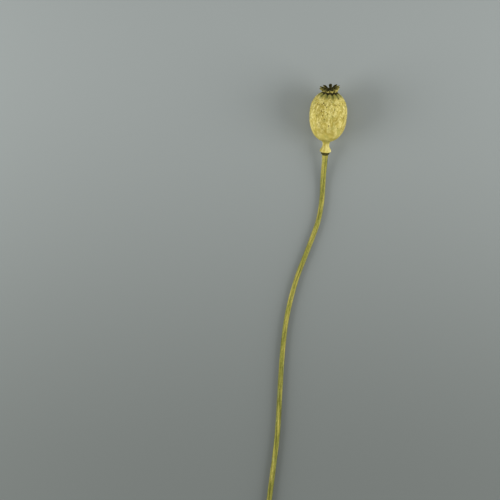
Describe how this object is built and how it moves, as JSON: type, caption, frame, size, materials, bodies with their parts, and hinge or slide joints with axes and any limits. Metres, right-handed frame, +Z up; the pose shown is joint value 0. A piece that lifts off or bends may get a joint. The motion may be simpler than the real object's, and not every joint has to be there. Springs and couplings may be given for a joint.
{
  "type": "poppy seed head",
  "caption": "Dried poppy seed head lying down: a barrel-shaped capsule with a rayed crown and a flared neck, on a long, gently curved cut stem.",
  "frame": {"origin": "centre of the small flat spot on the capsule's belly that the head rests on", "axes": "+Z up from the table, +Y along the lying head from stem to crown, +X to the right seen from above with the crown away from the viewer"},
  "size_m": [0.0834, 0.4374, 0.0395],
  "materials": {
    "capsule_skin": "dry, matte straw-coloured skin with fine wrinkles, brown specks and olive stains",
    "crown_rays": "dry and matte, nearly black-brown inside the rays, with olive rims and backs",
    "stem_bark": "dry, matte olive-brown stalk with long streaks and small dark specks"
  },
  "bodies": {
    "root": {"capsule": "capsule_skin", "crown": "crown_rays", "stem": "stem_bark"}
  },
  "joints": []
}
